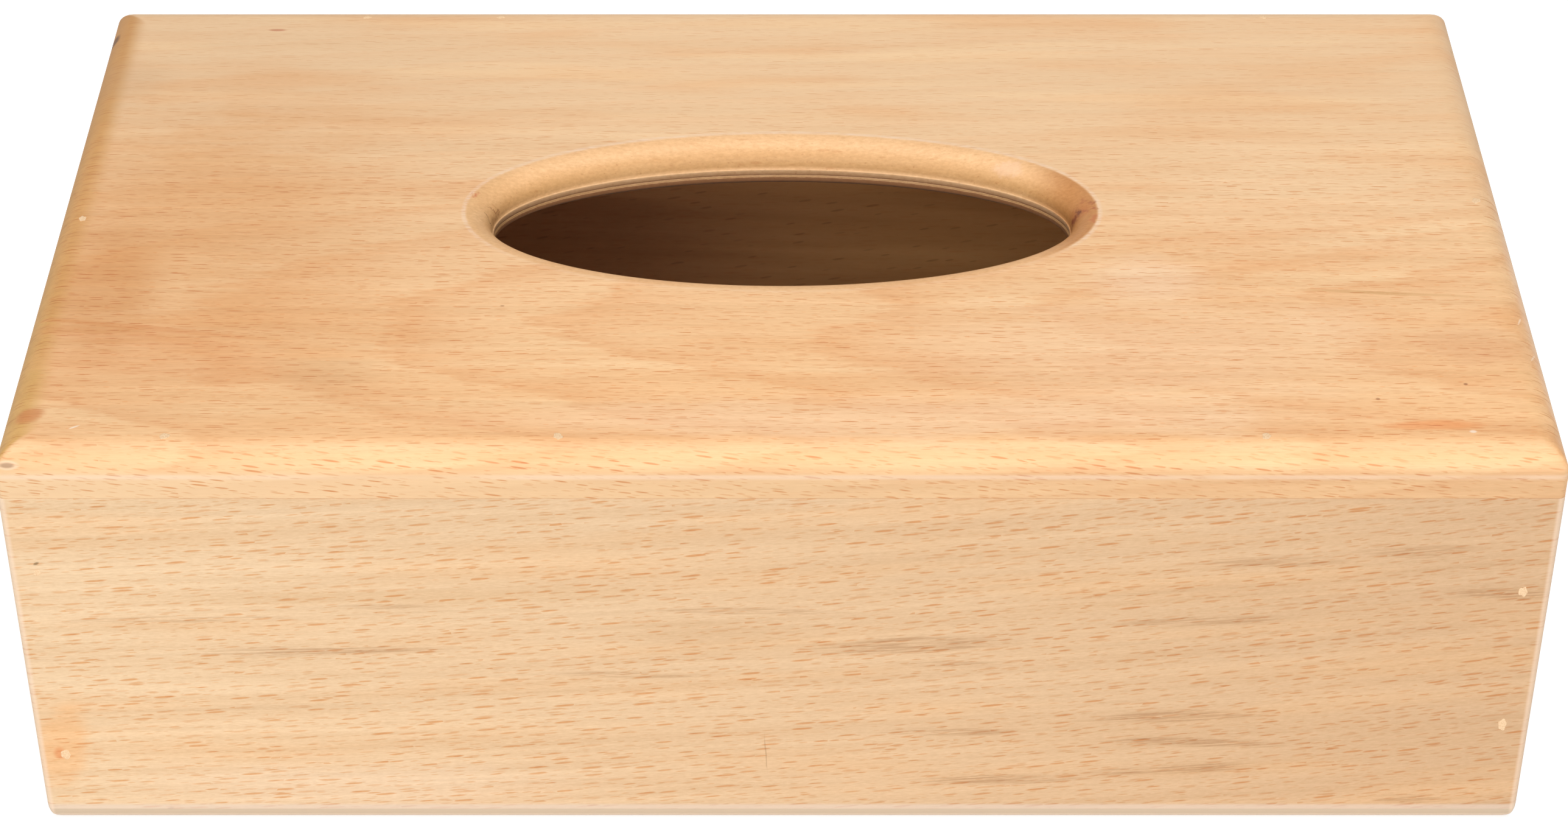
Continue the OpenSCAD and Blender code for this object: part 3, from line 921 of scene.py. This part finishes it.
def longBoardPiece(name, node, outward, wood, marks):
    # outward is -1 for the front board and 1 for the back one
    low, high = nodeBox(node)
    ease, foot, innerFoot = longBoard["seamEase"], longBoard["footRound"], longBoard["innerFootRound"]
    if outward < 0:
        low[1] += faceRelief
        face, ends, corners = low[1], (longBoard["cornerRound"], ease), (foot, innerFoot)
    else:
        high[1] -= faceRelief
        face, ends, corners = high[1], (ease, longBoard["cornerRound"]), (innerFoot, foot)
    wood = {**wood, "marks": marks, "axes": ((0, 1, 0.0), (2, 1, 0.0), (1, outward, face * outward))}
    material, parts = startBeech(name.replace("beech_", "beech") + "Board", wood)
    inner = remap(parts["out"], *insideFaceAndPaintedLight["reach"])
    # painted shade and light on the inside face: darker and browner on the left, lighter on the right
    brownAndPaintedLight = tint(remap(parts["along"], *insideFaceAndPaintedLight["along"]),
                   srgb(*insideFaceAndPaintedLight["from"]), srgb(*insideFaceAndPaintedLight["to"]))
    parts["colour"] = tint(product(inner, insideFaceAndPaintedLight["share"]), parts["colour"], brownAndPaintedLight)
    outer = remap(inner, 0.0, 1.0, 1.0, insideFaceAndPaintedLight["outerFlecks"], "LINEAR")
    addFlecks(parts, wood["flecks"], outer)
    addFlecks(parts, wood["innerFlecks"], inner)
    bands = calc("SUBTRACT", noise(parts["grain"], insideFaceAndPaintedLight["bands"]), 0.5)
    bands = product(bands, inner, insideFaceAndPaintedLight["bandTone"])
    parts["colour"] = toned(parts["colour"], bands)
    sandedFootAndPaintedLight(parts)
    # a painted highlight: the corner rounds at the board's ends are tinted pale, as if they caught the
    # light
    fromEnd = calc("SUBTRACT", high[0], calc("ABSOLUTE", parts["along"]))
    corner = product(remap(fromEnd, *longBoard["cornerHighlightReach"]),
                     remap(fromEnd, *longBoard["endFace"]), longBoard["cornerHighlightShare"])
    paint(parts, corner, longBoard["cornerHighlight"])
    finishBeech(parts, wood)
    shell = boardShell(low, high, 0, (*ends, foot, ease), (ease, ease, *corners))
    makePiece(name, [shell], material, [node])


longBoardPiece("beech_front", "front_board", -1, frontWood, frontMarks)
longBoardPiece("beech_back", "back_board", 1, {**frontWood, "slope": -0.03, "bend": 0.0001}, [])
print("front and back boards made")

# End boards

endBoard = {"footRound": 2.0, "seamEase": 0.15, "innerFootRound": 0.5}
endWood = {
    **frontWood, "slope": 0.02, "bend": 0, "marks": [],
    "gradient": {"axis": "across", "reach": (0, 72), "from": (238, 196, 148), "to": (230, 186, 138)},
    "endGrain": {"reach": (62.2, 62.5), "share": (0.3, 0.3), "colour": (196, 144, 92)},
}


def endBoardPiece(name, node, outward):
    # outward is -1 for the left end and 1 for the right one
    low, high = nodeBox(node)
    ease, foot, inner = endBoard["seamEase"], endBoard["footRound"], endBoard["innerFootRound"]
    corners = (ease, ease, foot, inner) if outward < 0 else (ease, ease, inner, foot)
    face = high[0] if outward > 0 else low[0]
    wood = {**endWood, "axes": ((1, outward, 0.0), (2, 1, 0.0), (0, outward, face * outward))}
    material, parts = startBeech(name.replace("beech_", "beech"), wood)
    addFlecks(parts, wood["flecks"])
    sandedFootAndPaintedLight(parts)
    finishBeech(parts, wood)
    makePiece(name, [boardShell(low, high, 1, (ease, ease, ease, ease), corners)], material,
              [node])


endBoardPiece("beech_left_end", "left_end_board", -1)
endBoardPiece("beech_right_end", "right_end_board", 1)
print("end boards made")

# Filler over the brads

filler = {
    "proud": 0.038,  # mm above the face
    "deep": 0.35,  # and below it
    "waves": (2, 3, 5),  # round the outline, each of a random size
    "waveSize": (0.04, 0.13),
    "size": (0.8, 0.8),
    # the left upper dab is smaller, the right-hand ones are drawn out upwards, the back ones lengthwise
    "sizes": {
        "front_left_fillers": ((0.9, 1.0), (0.7, 0.6)),
        "front_right_fillers": ((0.75, 1.25), (0.7, 1.1)),
        "top_back_fillers": ((0.8, 0.45), (0.8, 0.45), (0.8, 0.45)),
        "top_left_filler": ((0.6, 0.85),),
    },
    "colours": ((248, 214, 172), (232, 190, 144)),
}


def dabShell(centre, normalAxis, outward, size, seed):
    # a lens: radius r(angle) sin(v)^0.7, with r made uneven by low waves, and height cos(v) times the
    # small rise above the face or the depth below it
    draw = np.random.default_rng(seed)
    v = np.linspace(0, math.pi, 9)[:, None]
    angle = np.linspace(0, 2 * math.pi, 29)[:-1][None, :]
    waves = sum(draw.uniform(*filler["waveSize"]) * np.cos(k * angle + draw.uniform(0, 6.3))
                for k in filler["waves"])
    reach = np.sin(v) ** 0.7 * (1 + waves)
    a, b = size[0] * reach * np.cos(angle), size[1] * reach * np.sin(angle)
    height = outward * np.cos(v) * np.where(v < quarterTurn, filler["proud"], filler["deep"])
    local = (a, b, np.broadcast_to(height, a.shape))
    axes = [k for k in range(3) if k != normalAxis] + [normalAxis]
    points = np.empty((*a.shape, 3))
    for axis, value in zip(axes, local):
        points[:, :, axis] = centre[axis] + value
    return {"points": points, "rowsClose": False}


def fillerMaterial():
    material = newMaterial("fillerPaste")
    speckle = noise(placeInMm(), (0.25, 0.25, 0.25), 3.0)
    light, dark = filler["colours"]
    colour = tint(remap(speckle, 0.35, 0.7), srgb(*light), srgb(*dark))
    bump = put("Bump", {"Strength": 0.4, "Distance": 0.03 * mm, "Height": speckle})
    surface = put("BsdfPrincipled", {"Base Color": colour, "Roughness": 0.7,
                                     "Normal": bump.outputs[0]})
    put("OutputMaterial", {"Surface": surface.outputs[0]})
    return material


def islandCentres(node):  # the middles of a CAD node's separate solids, in mm
    mesh = bmesh.new()
    mesh.from_mesh(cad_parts[node].data)
    bmesh.ops.remove_doubles(mesh, verts=mesh.verts, dist=0.001 * mm)
    left, centres = set(mesh.verts), []
    while left:
        island, front = set(), [left.pop()]
        while front:
            vertex = front.pop()
            island.add(vertex)
            for edge in vertex.link_edges:
                other = edge.other_vert(vertex)
                if other in left:
                    left.discard(other)
                    front.append(other)
        corners = np.array([v.co for v in island]) / mm
        centres.append((corners.min(0) + corners.max(0)) / 2)
    mesh.free()
    return sorted(centres, key=lambda c: (round(c[2], 1), round(c[0], 1)))


def fillerPieces():
    paste = fillerMaterial()
    for number, node in enumerate(sorted(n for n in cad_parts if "filler" in n)):
        low, high = nodeBox(node)
        normalAxis = 2 if node.startswith("top") else 1
        outward = -1 if node.startswith("front") else 1
        face = (high if outward > 0 else low)[normalAxis] - outward * faceRelief
        shells = []
        for spot, centre in enumerate(islandCentres(node)):
            centre[normalAxis] = face
            size = filler["sizes"].get(node, [filler["size"]] * (spot + 1))[spot]
            shells.append(dabShell(centre, normalAxis, outward, size, 10 * number + spot))
        makePiece(node.replace("filler", "filler_dab"), shells, paste, [node])


fillerPieces()
print("filler dabs made")

# Brads

bradWire = {"size": (0.4, 0.4, 0.4), "colours": ((206, 206, 210), (172, 172, 178)),
            "roughness": (0.25, 0.42)}


def bradMaterial():
    # drawn steel wire, with a fine mottle in its colour and its roughness
    material = newMaterial("brightWire")
    mottle = noise(placeInMm(), bradWire["size"], 3.0)
    light, dark = bradWire["colours"]
    colour = tint(remap(mottle, 0.3, 0.7), srgb(*light), srgb(*dark))
    rough = remap(mottle, 0.3, 0.7, *bradWire["roughness"], "LINEAR")
    surface = put("BsdfPrincipled", {"Base Color": colour, "Metallic": 1.0, "Roughness": rough})
    put("OutputMaterial", {"Surface": surface.outputs[0]})
    return material


wire = bradMaterial()
for name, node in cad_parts.items():
    if "brad" in name:
        node.data.materials.clear()
        node.data.materials.append(wire)
print("brads finished")
